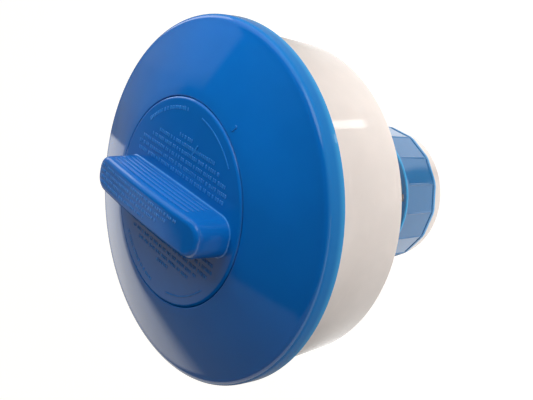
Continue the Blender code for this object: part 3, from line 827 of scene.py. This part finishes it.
def make_canister(material):
    low, high = node_span("canister")
    mouth = 1.6
    tube = lathe(rounded([
        (CANISTER_RADIUS, low.z, 0.4), (CANISTER_RADIUS, FLANGE_Z, 0.6), (high.x, FLANGE_Z, 0.4),
        (high.x, high.z, 0.4), (CANISTER_BORE + mouth, high.z, 0.3),
        (CANISTER_BORE, high.z - mouth, 0.3), (CANISTER_BORE, low.z, 0.4),
    ]))
    slots = bmesh.new()
    plan = round_rectangle(SLOT_HIGH_Z - SLOT_LOW_Z, SLOT_WIDTH, 1.6, 5)
    middle = Matrix.Translation((0, 0, (SLOT_LOW_Z + SLOT_HIGH_Z) / 2))
    upright = middle @ Matrix.Rotation(math.pi / 2, 4, "Y")
    for angle in spread(SLOT_COUNT):
        add_prism(slots, plan, CANISTER_BORE - WALL, CANISTER_RADIUS + WALL, turned(angle) @ upright)
    pegs = bmesh.new()
    for angle in spread(CAM_STARTS, CAM_FIRST_ANGLE):
        radial_peg(pegs, PEG_RADIUS, CANISTER_RADIUS - 1.0, PEG_TIP_RADIUS, PEG_Z, angle)
    tube = combined(tube, ("DIFFERENCE", slots), ("UNION", pegs))
    return piece("tablet_tube", tube, material, "float", "white_tube", "canister")


def make_clamp_ring(material):
    low, high = node_span("clamp_ring")
    section = block_section(CLAMP_BORE, high.x, low.z, high.z, 0.6)
    return piece("tube_clamp", lathe(section), material, "float", "inner_white", "clamp_ring")


def make_grid(material):
    low, high = node_span("tablet_grid")
    disc = lathe(rounded([
        (0.0, low.z, 0), (high.x, low.z, 0.4), (high.x, high.z, 0.4), (0.0, high.z, 0),
    ]))
    holes = bmesh.new()
    plan = round_rectangle(GRID_HOLE, GRID_HOLE, 1.2, 4)
    pitch = GRID_HOLE + GRID_WEB
    for column in range(-2, 3):
        for row in range(-2, 3):
            corner = (GRID_HOLE / 2 + pitch * abs(column), GRID_HOLE / 2 + pitch * abs(row))
            if math.hypot(*corner) < high.x - GRID_RIM + 1.0:
                place = Matrix.Translation((pitch * column, pitch * row, 0.0))
                add_prism(holes, plan, low.z - 2.0, high.z + 2.0, place)
    grid = combined(disc, ("DIFFERENCE", holes))
    return piece("flow_grid", grid, material, "float", "inner_white", "tablet_grid")


def make_end_cap(material):
    low, high = node_span("end_cap")
    bore = CAP_SPIGOT_RADIUS - WALL
    outline = rounded([
        (0.0, low.z + 0.4, 0), (CAP_RECESS_RADIUS, low.z + 0.4, 0.3),
        (CAP_RECESS_RADIUS + 1.0, low.z, 0.3), (high.x, low.z, CAP_FILLET),
        (high.x, CAP_TOP_Z, 0.7), (CAP_GROOVE_RADIUS, CAP_TOP_Z, 0.5),
        (CAP_GROOVE_RADIUS, CAP_GROOVE_Z, 0.3), (CAP_SPIGOT_RADIUS, CAP_GROOVE_Z, 0.3),
        (CAP_SPIGOT_RADIUS, high.z, 0.5), (bore, high.z, 0.4), (bore, low.z + CAP_FLOOR, 0.8),
        (0.0, low.z + CAP_FLOOR, 0),
    ])
    return piece("foot_cap", lathe(outline), material, "float", "white_cap", "end_cap")


# -------- dosing collar


def panel_radius(rib):
    """The collar's radius at an angle: flat panels, and a thin rib over each joint."""
    half = math.pi / PANEL_COUNT
    flat = PANEL_RIDGE_RADIUS * math.cos(half)

    def radius(angle):
        along = (angle - math.radians(PANEL_TURN)) % (2 * half)
        reach = flat / math.cos(along - half)
        off = min(along, 2 * half - along) * PANEL_RIDGE_RADIUS
        if rib and off < RIB_WIDTH:
            reach += RIB_HEIGHT * min(1.0, max(0.0, (RIB_WIDTH - off) / (RIB_WIDTH / 2)))
        return reach

    return radius


def collar_angles():
    """Angles dense over each rib and even across each panel."""
    step = 360.0 / PANEL_COUNT
    close = [math.degrees(RIB_WIDTH * k / 6 / PANEL_RIDGE_RADIUS) for k in range(-7, 8)]
    across = [step * k / 10 for k in range(1, 10)]
    starts = [PANEL_TURN + step * panel for panel in range(PANEL_COUNT)]
    return [math.radians(start + angle) for start in starts for angle in close + across]


def make_collar(material):
    low, high = node_span("dosing_collar")
    outer = high.x
    panel_low = low.z + COLLAR_FOOT_LIP
    panel_high = high.z - COLLAR_TOP_LIP
    seal_high = low.z + COLLAR_SEAL_HEIGHT
    plain, ribbed = panel_radius(False), panel_radius(True)

    def foot_lip(inset):
        return lambda angle: min(outer, plain(angle) + LIP_STEP) - inset

    seat = rounded([
        (COLLAR_SEAL_RADIUS, low.z + 1.0, 0), (COLLAR_SEAL_RADIUS, low.z, 0.3),
        (COLLAR_SEAL_RADIUS + 1.0, low.z, 0),
    ], closed=False)[1:-1]
    lip = [
        (foot_lip(0.4), low.z), (foot_lip(0.12), low.z + 0.12), (foot_lip(0.0), low.z + 0.4),
        (foot_lip(0.0), panel_low - 0.35), (foot_lip(0.12), panel_low - 0.08), (foot_lip(0.3), panel_low),
    ]
    # The first corner only leads the fillets on either side of it.
    upper = rounded([
        (LIP_GUIDE_RADIUS, panel_high, 0), (outer, panel_high, 0.35), (outer, high.z, 0.7),
        (COLLAR_BORE, high.z, 0.4), (COLLAR_BORE, seal_high, 0.2), (COLLAR_SEAL_RADIUS, seal_high, 0.2),
    ])[1:]
    panels = [
        (plain, panel_low), (plain, panel_low + 0.9), (ribbed, panel_low + 1.5),
        (ribbed, panel_high - 1.5), (plain, panel_high - 0.9), (plain, panel_high),
    ]
    collar = lathe(seat + lip + panels + upper, collar_angles())
    grooves = bmesh.new()
    entries = bmesh.new()
    drop = CAM_LEAD * CAM_TURN / 360.0
    inner = COLLAR_BORE - 1.0
    play = math.degrees(CAM_WIDTH / 2 / COLLAR_BORE)
    entry = round_rectangle(CAM_FLOOR_RADIUS - inner, CAM_WIDTH, 0.3, 2)
    middle = Matrix.Translation(((inner + CAM_FLOOR_RADIUS) / 2, 0.0, 0.0))
    for angle in spread(CAM_STARTS, CAM_FIRST_ANGLE):
        helical_bar(
            grooves, inner, CAM_FLOOR_RADIUS, CAM_WIDTH,
            PEG_Z - CAM_WIDTH / 2 - drop - CAM_LEAD * play / 360.0, CAM_LEAD,
            angle - CAM_TURN - play, CAM_TURN + 2 * play,
        )
        add_prism(entries, entry, PEG_Z, high.z + 1.0, turned(angle) @ middle)
    collar = combined(collar, ("DIFFERENCE", grooves), ("DIFFERENCE", entries))
    return piece("dosing_ring", collar, material, "collar", "blue_collar", "dosing_collar")


# -------- lid


def ridge_depth(z):
    """How far the side is cut in at a height: narrow valleys between half-round ridges."""
    phase = (z - RIDGE_FIRST_Z) / RIDGE_PITCH + 0.5
    if not 0.0 <= phase <= RIDGE_COUNT:
        return 0.0
    across = 2 * (phase % 1.0) - 1
    return RIDGE_DEPTH * (1 - math.sqrt(1 - across ** 2))


def bar_levels(top):
    """(height at mid-length, inward offset, depth of the valleys) up the bar's side."""
    levels = [(LID_TOP_Z - 1.5, -BAR_FOOT_FILLET, 0.0)]
    for step in range(6):
        angle = math.pi / 2 * step / 5
        drop = BAR_FOOT_FILLET * (1 - math.sin(angle))
        levels.append((LID_TOP_Z + BAR_FOOT_FILLET * (1 - math.cos(angle)), -drop, 0.0))
    samples = 12
    for k in range(RIDGE_COUNT * samples + 1):
        z = RIDGE_FIRST_Z + RIDGE_PITCH * (k / samples - 0.5)
        levels.append((z, 0.0, ridge_depth(z)))
    straight_top = top - BAR_TOP_FILLET
    levels.append(((levels[-1][0] + straight_top) / 2, 0.0, 0.0))
    for step in range(10):
        angle = math.pi / 2 * step / 9
        inward = BAR_TOP_FILLET * (1 - math.cos(angle))
        levels.append((straight_top + BAR_TOP_FILLET * math.sin(angle), inward, 0.0))
    return levels


def bar_plan():
    """(point, outward normal, ridge share) round the bar's foot in plan."""
    x, y = BAR_LENGTH / 2 - BAR_CORNER, BAR_FOOT_WIDTH / 2 - BAR_CORNER
    steps = 44
    plan = []
    for quarter, sx, sy in CORNERS:
        for step in range(13):
            normal = Vector(polar(1.0, math.pi / 2 * (quarter + step / 12)))
            plan.append((Vector((sx * x, sy * y)) + normal * BAR_CORNER, normal))
        if quarter in (0, 2):
            for k in range(1, steps):
                along = sx * x * (1 - 2 * k / steps)
                plan.append((Vector((along, sy * (y + BAR_CORNER))), Vector((0, sy))))
    made = []
    for point, normal in plan:
        along = point.x * (1 if point.y > 0 else -1)
        share = min((along - RIDGE_START) / RIDGE_FADE, (RIDGE_END - along) / RIDGE_FADE)
        share = min(1.0, max(0.0, share)) * abs(normal.y)
        made.append((point, normal, share * share * (3 - 2 * share)))
    return made


def arch_drop(x):
    return BAR_ARCH * (2 * x / BAR_LENGTH) ** 2


def grip_bar(top):
    """The bar, drawn in towards its top, which is highest mid-way along."""
    bm = bmesh.new()
    rings = []
    draft = (BAR_FOOT_WIDTH - BAR_TOP_WIDTH) / BAR_FOOT_WIDTH
    for z, offset, groove in bar_levels(top):
        rise = max(0.0, z - LID_TOP_Z) / (top - LID_TOP_Z)
        ring = []
        for point, normal, share in bar_plan():
            at = point - normal * (offset + groove * share)
            sunk = z - arch_drop(point.x) * math.sqrt(rise)
            drawn_in = 1 - rise * 2 * BAR_END_DRAFT / BAR_LENGTH
            ring.append(bm.verts.new((at.x * drawn_in, at.y * (1 - rise * draft), sunk)))
        rings.append(ring)
    bridge(bm, rings)
    bm.faces.new(list(reversed(rings[0])))
    crown = rings[-1]
    for k in range(len(crown) // 2 - 1):
        bm.faces.new((crown[-1 - k], crown[k], crown[k + 1], crown[-2 - k]))
    return bm


def lying(middle, along):
    """The matrix that lays a plan at a point, with its length along a direction."""
    place = Matrix.Translation((middle.x, middle.y, 0.0))
    return place @ Matrix.Rotation(math.atan2(along.y, along.x), 4, "Z")


def add_blocks(bm, start, end, z, height, draw, bow=None, arched=False):
    """A run of small raised blocks of uneven width along a line, in place of wording.

    With bow, the run follows a circle of that radius, and start and end are its
    angles in degrees. With arched, it follows the top of the grip bar.
    """
    length = abs(math.radians(end - start)) * bow if bow else (Vector(end) - Vector(start)).length
    at = 0.0
    while True:
        width = draw.choice(BLOCK_WIDTHS)
        if at + width > length:
            break
        plan = round_rectangle(width, height, 0.25, 1)
        if bow:
            share = (at + width / 2) / length
            angle = math.radians(start + (end - start) * share)
            place = lying(Vector(polar(bow, angle)), Vector(polar(1.0, angle + math.pi / 2)))
        else:
            along = (Vector(end) - Vector(start)).normalized()
            place = lying(Vector(start) + along * (at + width / 2), along)
        sunk = arch_drop(place.translation.x) if arched else 0.0
        add_prism(bm, plan, z - sunk - MARK_ROOT, z - sunk + MARK_HEIGHT, place, MARK_TAPER)
        at += width + draw.choice(BLOCK_GAPS)


def add_arc_rib(bm, radius, width, start, end, z):
    """A thin raised line that follows a circle. Angles are in degrees."""
    steps = max(4, round(abs(end - start) / 2))
    plan = []
    for side in (1, -1):
        for k in range(steps + 1):
            share = k / steps if side > 0 else 1 - k / steps
            angle = math.radians(start + (end - start) * share)
            plan.append(polar(radius + side * width / 2, angle))
    rings = [[bm.verts.new((x, y, level)) for x, y in plan] for level in (z - 0.5, z + LINE_HEIGHT)]
    bridge(bm, rings)
    count = steps + 1
    for ring in rings:
        for k in range(steps):
            bm.faces.new((ring[k], ring[k + 1], ring[2 * count - 2 - k], ring[2 * count - 1 - k]))


def lid_marks(draw):
    """Rows of raised blocks above and below the bar, two arc rows, two arc lines and a dash."""
    bm = bmesh.new()
    for side in (1, -1):
        for row, (left, right) in enumerate(ROW_ENDS):
            y = side * (FIRST_ROW_Y + ROW_PITCH * row)
            add_blocks(bm, (side * left, y), (side * right, y), LID_TOP_Z, ROW_HEIGHT, draw)
    for start in ARC_ROW_STARTS:
        add_blocks(bm, start + ARC_ROW_DEGREES, start, LID_TOP_Z, ROW_HEIGHT, draw, ARC_RADIUS)
    for start in TURN_LINE_STARTS:
        add_arc_rib(bm, ARC_RADIUS, TURN_LINE_WIDTH, start, start + TURN_LINE_DEGREES, LID_TOP_Z)
    start, end = (Vector(point) for point in DASH)
    plan = round_rectangle((end - start).length, DASH_WIDTH, DASH_WIDTH * 0.45, 3)
    place = lying((start + end) / 2, end - start)
    add_prism(bm, plan, LID_TOP_Z - MARK_ROOT, LID_TOP_Z + LINE_HEIGHT, place, 0.15)
    return bm


def make_lid(material):
    low, high = node_span("lid_cover")
    socket_radius = node_span("lid_plug")[1].x - SOCKET_INSET
    socket_z = low.z + SOCKET_DEPTH
    plate = lathe(rounded([
        (0.0, LID_TOP_Z, 0), (high.x, LID_TOP_Z, LID_FILLET), (high.x, low.z, 0.5),
        (socket_radius, low.z, 0.2), (socket_radius, socket_z, 0.2), (0.0, socket_z, 0),
    ]))
    draw = random.Random(7)
    bar_top = high.z - MARK_HEIGHT
    marks = lid_marks(draw)
    for row, right in enumerate(BAR_ROW_RIGHTS):
        y = BAR_FIRST_ROW_Y - BAR_ROW_PITCH * row
        add_blocks(marks, (BAR_ROW_LEFT, y), (right, y), bar_top, BAR_ROW_HEIGHT, draw, arched=True)
    hollow = bmesh.new()
    inset = 2 * WALL + 1.0
    plan = round_rectangle(BAR_LENGTH - inset, BAR_TOP_WIDTH - inset, BAR_CORNER - WALL, 8)
    add_prism(hollow, plan, low.z - 1.0, high.z - BAR_ARCH - WALL, None, 1.0)
    lid = combined(plate, ("UNION", grip_bar(bar_top)), ("UNION", marks), ("DIFFERENCE", hollow))
    return piece("lid_with_bar", lid, material, "lid", "blue_lid", "lid_cover")


def make_plug(material):
    low, high = node_span("lid_plug")
    bore = PLUG_RADIUS - PLUG_WALL
    plug = lathe(rounded([
        (0.0, low.z, 0), (PLUG_RADIUS, low.z, 1.2), (PLUG_RADIUS, high.z, 0.3), (bore, high.z, 0.3),
        (bore, low.z + PLUG_WALL, 1.0), (0.0, low.z + PLUG_WALL, 0),
    ]))
    lugs = bmesh.new()
    lug_low = RAMP_LOW_Z + LID_LEAD * LUG_LAG / 360.0 - LUG_PLAY - LUG_HEIGHT
    lug_back = PLUG_RADIUS - PLUG_WALL / 2
    for start in spread(LID_STARTS, LUG_LAG):
        helical_bar(lugs, lug_back, LUG_RADIUS, LUG_HEIGHT, lug_low, LID_LEAD, start, LUG_SWEEP, 0.3)
    plug = combined(plug, ("UNION", lugs))
    return piece("threaded_plug", plug, material, "lid", "inner_white", "lid_plug")


# -------- seals


def make_seals(material):
    low, high = node_span("lid_seal")
    section = (high.z - low.z) / 2
    middle = Vector((min(high.x, RECESS_RADIUS - 0.05) - section, (low.z + high.z) / 2))
    ring = [middle + Vector(point) for point in circle(section, 20)]
    piece("lid_o_ring", lathe(ring), material, "lid_carrier", "seal_rubber", "lid_seal")
    low, high = node_span("collar_seal")
    section = block_section(CANISTER_RADIUS + 0.5, high.x, low.z, high.z, 0.3)
    piece("collar_wiper", lathe(section), material, "collar_carrier", "seal_rubber", "collar_seal")
    for node in (
        "rim_gasket", "throat_gasket", "sleeve_gasket", "canister_gasket", "end_cap_gasket", "air_plug_seal",
    ):
        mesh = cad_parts[node].data
        mesh.materials.clear()
        mesh.materials.append(material)


# -------- studio


def unit(azimuth, elevation):
    a, e = math.radians(azimuth), math.radians(elevation)
    return Vector((math.cos(a) * math.cos(e), math.sin(a) * math.cos(e), math.sin(e)))


def make_world():
    """A pale sweep behind and below, a lit wall above in the picture, and a dark room in front."""
    world = bpy.data.worlds.new("studio")
    bpy.context.scene.world = world
    nodes = Nodes(world, "Background", place="Generated")
    up = unit(PICTURE_UP_AZIMUTH, 0.0)
    zenith = Vector((0.0, 0.0, 1.0))

    side_edge = nodes.along(unit(SIDE_AZIMUTH + 90.0, 0.0), -0.008, 0.008)
    side_end = nodes.along(unit(SIDE_AZIMUTH + 28.0 - 90.0, 0.0), -0.20, 0.18)
    table = nodes.along(zenith + up * TABLE_TILT, 0.13, -0.03, 0.0, TABLE_LEVEL)
    side_board = nodes.along(zenith, 0.31, 0.09, 0.0, TABLE_LEVEL)
    table = nodes.times(side_edge, nodes.most(table, nodes.times(side_board, side_end)))

    rise = nodes.along(unit(-90.0, 0.0), 0.22, 0.92, 0.0, 0.7)
    over = nodes.maths("SUBTRACT", nodes.vector("DOT_PRODUCT", nodes.place, zenith), rise)
    away = nodes.along(up + zenith * 0.1, 0.75, 0.45)
    haze = nodes.times(nodes.ramp(over, 0.48, 0.56, HAZE_LEVEL, 0.0), away)
    patch = nodes.along(unit(-148.0, 30.0), 0.985, 0.997, 0.0, PATCH_LEVEL)

    wall_side = nodes.along(up - zenith * 0.2, 0.26, 0.38)
    wall_top = nodes.along(zenith, 0.64, 0.60)
    wall = nodes.times(wall_side, wall_top, nodes.along(up, 0.55, 0.95, WALL_LEVEL, WALL_TOP_LEVEL))
    window = nodes.along(unit(70.0, 22.0), 0.93, 0.985, 0.0, WINDOW_LEVEL)
    sheen_side = nodes.along(unit(SHEEN_AZIMUTH + 90.0, 0.0), -0.015, 0.015)
    sheen_end = nodes.along(unit(SHEEN_AZIMUTH + 11.5, 0.0), 0.92, 0.96)
    sheen = nodes.times(nodes.along(zenith, 0.42, 0.33, 0.0, SHEEN_LEVEL), sheen_side, sheen_end)

    light = nodes.most(nodes.maths("ADD", haze, patch), table, wall, window, sheen)
    dimmed = nodes.times(nodes.light_path("Is Diffuse Ray"), 1.0 - DIFFUSE_SHARE)
    strength = nodes.times(nodes.maths("ADD", light, ROOM_LEVEL), nodes.maths("SUBTRACT", 1.0, dimmed))
    seen = nodes.times(nodes.light_path("Is Camera Ray"), SKY_SEEN)
    nodes.connect(Strength=nodes.most(strength, seen))
    nodes.fixed(Color=(*STUDIO_WHITE, 1.0))


def area_light(name, at, turn, size, power, colour=(1.0, 1.0, 1.0), size_y=None, seen=True):
    light = bpy.data.lights.new(name, "AREA")
    light.energy = power
    light.color = colour
    light.shape = "RECTANGLE" if size_y else "DISK"
    light.size = size
    if size_y:
        light.size_y = size_y
    obj = bpy.data.objects.new(name, light)
    obj.location = at
    obj.rotation_mode = "QUATERNION"
    obj.rotation_quaternion = turn
    obj.visible_camera = False
    obj.visible_glossy = seen
    bpy.context.scene.collection.objects.link(obj)
    return obj


def floor_lamp(name, start, end, width, power):
    """A lamp that lies on the floor between two points and shines up."""
    start, end = Vector((*start, 0.004)), Vector((*end, 0.004))
    along = end - start
    lie = Matrix.Rotation(math.atan2(along.y, along.x), 4, "Z") @ Matrix.Rotation(math.pi, 4, "X")
    area_light(name, (start + end) / 2, lie.to_quaternion(), along.length, power, size_y=width)


def make_lights(drum):
    """A close key, a side lamp and a fill that leave out the white drum, which has its own key."""
    middle = Vector((0.0, 0.0, 0.14))
    for name, direction, distance, size, power, state in (
        ("key", unit(100.0, 42.0), 0.28, 0.26, 0.72, "EXCLUDE"),
        ("side", unit(45.0, 5.0), 1.2, 0.8, 9.5, "EXCLUDE"),
        ("fill", unit(8.0, 12.0), 1.3, 0.7, 0.8, "EXCLUDE"),
        ("drum_key", unit(62.0, 18.0), 1.2, 0.9, 9.4, "INCLUDE"),
    ):
        turn = (-direction).to_track_quat("-Z", "Y")
        lamp = area_light(name, middle + direction * distance, turn, size, power, STUDIO_WHITE, seen=False)
        receivers = bpy.data.collections.new(name)
        lamp.light_linking.receiver_collection = receivers
        receivers.objects.link(drum)
        receivers.collection_objects[0].light_linking.link_state = state
    floor_lamp("strip", (0.077, 0.154), (0.113, 0.214), 0.016, 0.012)
    floor_lamp("spot", (0.150, 0.188), (0.166, 0.214), 0.020, 0.006)


def make_floor():
    bm = bmesh.new()
    bmesh.ops.create_circle(bm, cap_ends=True, segments=96, radius=FLOOR_RADIUS)
    mesh = bpy.data.meshes.new("floor")
    bm.to_mesh(mesh)
    bm.free()
    floor = bpy.data.objects.new("floor", mesh)
    floor.location = (0.0, 0.0, -0.0002)
    bpy.context.scene.collection.objects.link(floor)
    material = bpy.data.materials.new("floor_pale")
    nodes = Nodes(material, source="ShaderNodeNewGeometry", place="Position")
    nodes.fixed(Base_Color=(0.30, 0.30, 0.30, 1.0), Roughness=0.9, Emission_Color=(*STUDIO_WHITE, 1.0))
    reach = nodes.vector("DISTANCE", nodes.place, (0.02, 0.0, 0.0))
    pool = nodes.ramp(reach, 0.13, 0.215, POOL_LEVEL, FLOOR_LEVEL)
    far = nodes.along(unit(-157.0, 0.0), 0.45, 0.9, 0.0, FAR_LEVEL)
    cut = nodes.along(unit(SIDE_AZIMUTH + 90.0, 0.0), -0.04, -0.01, kind="LINEAR")
    spot = nodes.add("ShaderNodeMapping", {
        "Vector": nodes.place, "Location": DARK_SPOT_AT,
        "Rotation": (0.0, 0.0, math.radians(DARK_SPOT_TURN)), "Scale": (3.0, 1.0, 1.0),
    }, vector_type="TEXTURE").outputs["Vector"]
    open_floor = nodes.ramp(nodes.vector("LENGTH", spot), 0.004, 0.010, 0.12, 1.0)
    light = nodes.times(nodes.most(pool, nodes.times(far, cut)), open_floor)
    seen = nodes.add("ShaderNodeMix", {0: nodes.light_path("Is Camera Ray"), 2: light, 3: FLOOR_SEEN})
    nodes.connect(Emission_Strength=seen.outputs[0])
    mesh.materials.append(material)


def make_camera():
    camera = bpy.data.cameras.new("camera")
    camera.sensor_width = SENSOR_MM
    camera.lens = LENS_MM
    camera.clip_start = 0.01
    obj = bpy.data.objects.new("camera", camera)
    back = -Vector(CAMERA_FORWARD).normalized()
    right = Vector(CAMERA_UP).cross(back).normalized()
    up = back.cross(right)
    obj.matrix_world = Matrix.Translation(CAMERA_AT) @ Matrix((right, up, back)).transposed().to_4x4()
    bpy.context.scene.collection.objects.link(obj)
    bpy.context.scene.camera = obj


def main():
    bpy.context.scene.view_settings.view_transform = "Standard"
    materials = make_materials()
    made = {maker: maker(materials[look]) for maker, look in (
        (make_disc, "disc"), (make_drum, "drum"), (make_air_plug, "inner"), (make_well, "inner"),
        (make_lock_nut, "inner"), (make_canister, "tube"), (make_clamp_ring, "inner"),
        (make_grid, "inner"), (make_end_cap, "cap"), (make_collar, "collar"), (make_lid, "lid"),
        (make_plug, "inner"), (make_seals, "rubber"),
    )}
    make_world()
    make_lights(made[make_drum])
    make_floor()
    make_camera()


main()
